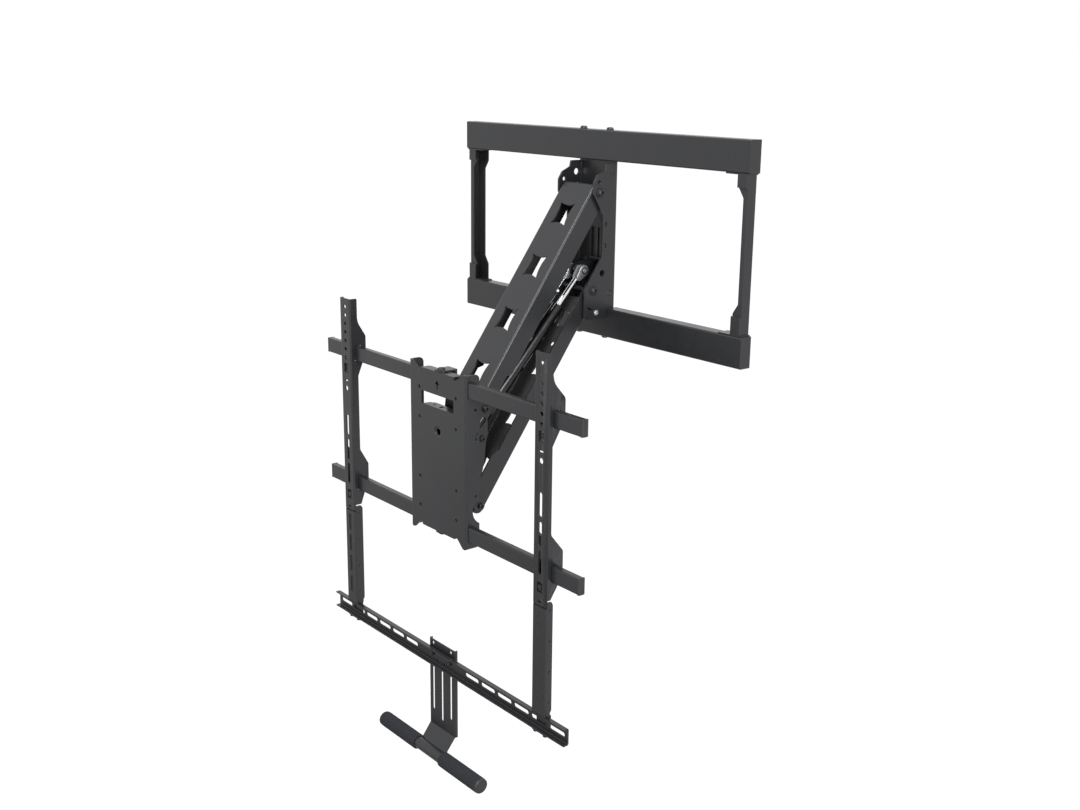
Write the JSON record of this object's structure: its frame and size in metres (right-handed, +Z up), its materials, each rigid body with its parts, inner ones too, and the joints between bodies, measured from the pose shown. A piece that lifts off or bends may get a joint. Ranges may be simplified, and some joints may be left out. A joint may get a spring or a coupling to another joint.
{
  "type": "pull-down tv wall mount",
  "caption": "Pull-down television wall mount: slotted wall frame, gas-sprung parallelogram arms, tilting and swivelling plate, TV brackets, sound bar rail and foam-gripped handle.",
  "frame": {"origin": "on the wall plane, centre of the pattern of wall fixings", "axes": "+X to the viewer's right seen from the room, +Y into the wall, +Z up; the room is towards -Y"},
  "size_m": [0.696, 0.3675, 1.0387],
  "materials": {
    "charcoal_powder_coat": "fine satin powder coat",
    "black_oxide_steel": "black oxide",
    "plain_steel": "zinc plated",
    "chromed_rod": "polished",
    "gloss_black_tube": "semi-gloss paint",
    "black_nylon": "moulded",
    "grey_foam": "closed-cell foam"
  },
  "bodies": {
    "wall_frame": {"upper_wall_rail": "charcoal_powder_coat", "lower_wall_rail": "charcoal_powder_coat", "upper_rail_cover": "charcoal_powder_coat", "lower_rail_cover": "charcoal_powder_coat", "left_stile": "charcoal_powder_coat", "right_stile": "charcoal_powder_coat", "column": "charcoal_powder_coat", "column_bolts": "black_oxide_steel", "cover_screws": "black_oxide_steel", "stile_screws": "plain_steel", "upper_column_axle": "black_oxide_steel", "lower_column_axle": "black_oxide_steel", "column_bushes": "black_nylon", "spring_anchor": "charcoal_powder_coat", "spring_anchor_pin": "plain_steel"},
    "upper_arm": {"upper_arm": "charcoal_powder_coat"},
    "lower_arm": {"lower_arm": "charcoal_powder_coat"},
    "spring_rods": {"left_spring_rod": "chromed_rod", "right_spring_rod": "chromed_rod"},
    "spring_tubes": {"left_spring_tube": "gloss_black_tube", "right_spring_tube": "gloss_black_tube", "spring_foot_shaft": "plain_steel"},
    "head": {"head_bracket": "charcoal_powder_coat", "upper_head_axle": "black_oxide_steel", "lower_head_axle": "black_oxide_steel", "head_bushes": "black_nylon", "spring_foot_bolts": "black_oxide_steel", "tilt_bolts": "black_oxide_steel"},
    "yoke": {"swivel_yoke": "charcoal_powder_coat", "swivel_bolts": "black_oxide_steel"},
    "plate": {"tv_plate": "charcoal_powder_coat"},
    "bars": {"upper_cross_bar": "charcoal_powder_coat", "lower_cross_bar": "charcoal_powder_coat", "bar_end_caps": "black_nylon"},
    "left_bracket": {"left_tv_bracket": "charcoal_powder_coat", "left_clamp_plates": "plain_steel", "left_clamp_bolts": "black_oxide_steel"},
    "right_bracket": {"right_tv_bracket": "charcoal_powder_coat", "right_clamp_plates": "plain_steel", "right_clamp_bolts": "black_oxide_steel"},
    "left_extension": {"left_extension": "charcoal_powder_coat", "left_rail_bolts": "black_oxide_steel"},
    "right_extension": {"right_extension": "charcoal_powder_coat", "right_rail_bolts": "black_oxide_steel"},
    "rail": {"sound_bar_rail": "charcoal_powder_coat", "handle_screws": "black_oxide_steel"},
    "handle": {"handle_bracket": "charcoal_powder_coat", "handle_tube": "charcoal_powder_coat", "left_grip": "grey_foam", "right_grip": "grey_foam", "handle_end_caps": "black_nylon"}
  },
  "joints": [
    {"name": "arm_lift", "type": "hinge", "parent": "wall_frame", "child": "upper_arm", "pos_m": [0, -0.041, 0.0712], "axis": [-1, 0, 0], "range_deg": [0, 129.5]},
    {"name": "lower_arm_lift", "type": "hinge", "parent": "wall_frame", "child": "lower_arm", "pos_m": [0, -0.051, -0.0888], "axis": [-1, 0, 0], "range_deg": [0, 129.5]},
    {"name": "head_level", "type": "hinge", "parent": "upper_arm", "child": "head", "pos_m": [0, -0.27501, -0.25567], "axis": [-1, 0, 0], "range_deg": [-129.5, 0]},
    {"name": "spring_swing", "type": "hinge", "parent": "wall_frame", "child": "spring_rods", "pos_m": [0, -0.0495, -0.0588], "axis": [-1, 0, 0], "range_deg": [0, 124.6]},
    {"name": "spring_stroke", "type": "slide", "parent": "spring_rods", "child": "spring_tubes", "axis": [0, -0.6878, -0.7259], "range_m": [0, 0.146]},
    {"name": "tilt", "type": "hinge", "parent": "head", "child": "yoke", "pos_m": [0, -0.29651, -0.37867], "axis": [1, 0, 0], "range_deg": [0, 5]},
    {"name": "swivel", "type": "hinge", "parent": "yoke", "child": "plate", "pos_m": [0, -0.32701, -0.32867], "axis": [0, 0, 1], "range_deg": [-25, 25]},
    {"name": "bar_slide", "type": "slide", "parent": "plate", "child": "bars", "axis": [1, 0, 0], "range_m": [-0.03, 0.03]},
    {"name": "left_bracket_slide", "type": "slide", "parent": "bars", "child": "left_bracket", "axis": [-1, 0, 0], "range_m": [-0.14, 0.04]},
    {"name": "right_bracket_slide", "type": "slide", "parent": "bars", "child": "right_bracket", "axis": [1, 0, 0], "range_m": [-0.14, 0.04]},
    {"name": "rail_drop", "type": "slide", "parent": "bars", "child": "rail", "axis": [0, 0, -1], "range_m": [0, 0.06]},
    {"name": "left_extension_drop", "type": "slide", "parent": "left_bracket", "child": "left_extension", "axis": [0, 0, -1], "range_m": [0, 0.06]},
    {"name": "right_extension_drop", "type": "slide", "parent": "right_bracket", "child": "right_extension", "axis": [0, 0, -1], "range_m": [0, 0.06]},
    {"name": "handle_slide", "type": "slide", "parent": "rail", "child": "handle", "axis": [0, 0, 1], "range_m": [0, 0.1]}
  ],
  "couplings": [
    {"joint": "lower_arm_lift", "follows": "arm_lift", "ratio": 1},
    {"joint": "head_level", "follows": "arm_lift", "ratio": -1},
    {"joint": "spring_swing", "follows": "arm_lift", "ratio": 0.9605},
    {"joint": "spring_stroke", "follows": "arm_lift", "m_per_rad": 0.06369},
    {"joint": "left_extension_drop", "follows": "rail_drop", "ratio": 1},
    {"joint": "right_extension_drop", "follows": "rail_drop", "ratio": 1}
  ]
}
